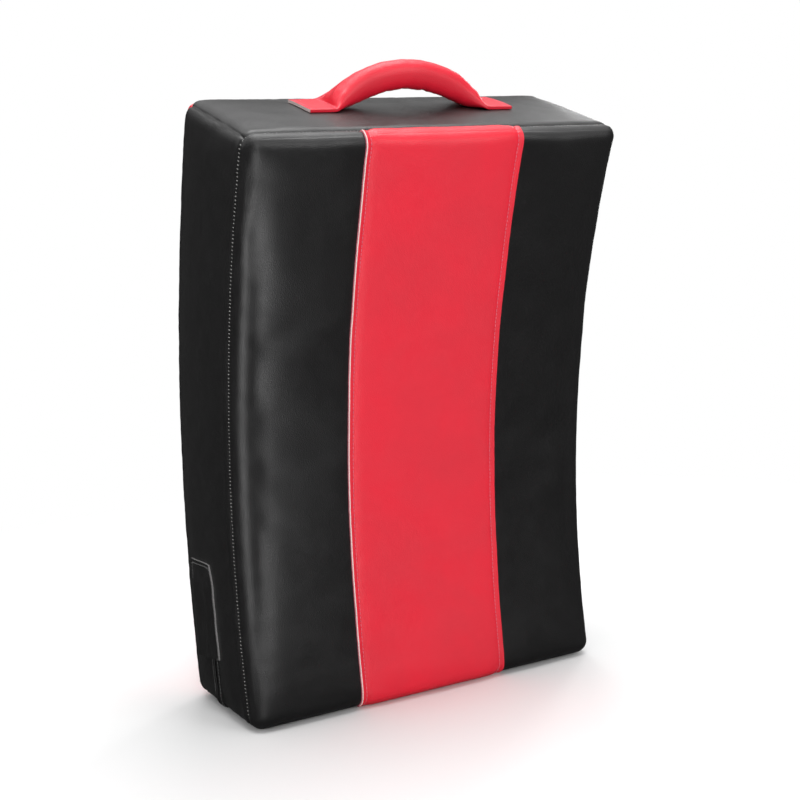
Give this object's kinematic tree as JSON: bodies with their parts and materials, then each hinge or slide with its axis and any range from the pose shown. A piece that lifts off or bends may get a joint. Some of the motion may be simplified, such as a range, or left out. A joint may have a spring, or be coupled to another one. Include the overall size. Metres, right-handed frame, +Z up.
{
  "type": "curved kick shield",
  "caption": "Curved padded kick and strike shield with a zipped leather cover, layered foam and padded carry handles on the top and back.",
  "frame": {"origin": "middle of the flat lower end, on the floor under the zip", "axes": "+Z up with the lower end flat on the floor, -Y out of the hollow strike face, +X to the right seen from the strike face"},
  "size_m": [0.4082, 0.2855, 0.6309],
  "materials": {
    "red_leather": "semi-gloss coated leather, fine grain",
    "black_leather": "semi-gloss coated leather, fine grain",
    "handle_foam": "closed-cell foam roll",
    "reinforcement_web": "woven webbing",
    "thread": "bonded nylon thread",
    "zip_tape": "woven zip tape",
    "zip_coil": "nylon coil",
    "zip_metal": "black enamel",
    "dense_foam": "dense closed-cell foam",
    "core_foam": "layered shock foam"
  },
  "bodies": {
    "cover": {"back_foam": "dense_foam", "back_panel_left": "red_leather", "back_panel_middle": "black_leather", "back_panel_right": "red_leather", "back_seam_thread": "thread", "back_stripe_thread": "thread", "bottom_panel_back": "black_leather", "bottom_panel_front": "black_leather", "core_foam": "core_foam", "cross_handle_backing": "reinforcement_web", "cross_handle_stitching": "thread", "cross_handle_tab_left": "red_leather", "cross_handle_tab_right": "red_leather", "front_panel_left": "black_leather", "front_panel_middle": "red_leather", "front_panel_right": "black_leather", "front_seam_thread": "thread", "front_stripe_thread": "thread", "garage_thread": "thread", "left_handle_backing": "reinforcement_web", "left_handle_stitching": "thread", "left_handle_tab_lower": "red_leather", "left_handle_tab_upper": "red_leather", "right_handle_backing": "reinforcement_web", "right_handle_stitching": "thread", "right_handle_tab_lower": "red_leather", "right_handle_tab_upper": "red_leather", "side_panel_left": "black_leather", "side_panel_right": "black_leather", "strike_foam": "dense_foam", "top_handle_backing": "reinforcement_web", "top_handle_stitching": "thread", "top_handle_tab_left": "red_leather", "top_handle_tab_right": "red_leather", "top_panel": "black_leather", "zip_coil_back": "zip_coil", "zip_coil_front": "zip_coil", "zip_end_stops": "zip_coil", "zip_garage": "black_leather", "zip_tape_back": "zip_tape", "zip_tape_front": "zip_tape", "zip_thread": "thread"},
    "top_handle": {"top_handle_sleeve": "red_leather", "top_handle_padding": "handle_foam"},
    "cross_handle": {"cross_handle_sleeve": "red_leather", "cross_handle_padding": "handle_foam"},
    "left_handle": {"left_handle_sleeve": "red_leather", "left_handle_padding": "handle_foam"},
    "right_handle": {"right_handle_sleeve": "red_leather", "right_handle_padding": "handle_foam"},
    "zip_slider": {"zip_slider": "zip_metal"},
    "zip_pull": {"zip_pull": "zip_metal"}
  },
  "joints": [
    {"name": "top_handle_swing", "type": "hinge", "parent": "cover", "child": "top_handle", "pos_m": [0, -0.08368, 0.59304], "axis": [1, 0, 0], "range_deg": [-60, 60]},
    {"name": "cross_handle_swing", "type": "hinge", "parent": "cover", "child": "cross_handle", "pos_m": [0, 0.02572, 0.51856], "axis": [1, 0, 0], "range_deg": [-55, 55]},
    {"name": "left_handle_swing", "type": "hinge", "parent": "cover", "child": "left_handle", "pos_m": [-0.15, 0.07629, 0.31083], "axis": [0, -0.1564, 0.9877], "range_deg": [-50, 50]},
    {"name": "right_handle_swing", "type": "hinge", "parent": "cover", "child": "right_handle", "pos_m": [0.15, 0.07629, 0.31083], "axis": [0, -0.1564, 0.9877], "range_deg": [-50, 50]},
    {"name": "zip_slide", "type": "slide", "parent": "cover", "child": "zip_slider", "axis": [0, -0.0576, -0.9983], "range_m": [0, 0.066]},
    {"name": "zip_pull_flap", "type": "hinge", "parent": "zip_slider", "child": "zip_pull", "pos_m": [-0.20265, 0.01454, 0.09361], "axis": [0, -0.9983, 0.0576], "range_deg": [-4, 4]}
  ]
}
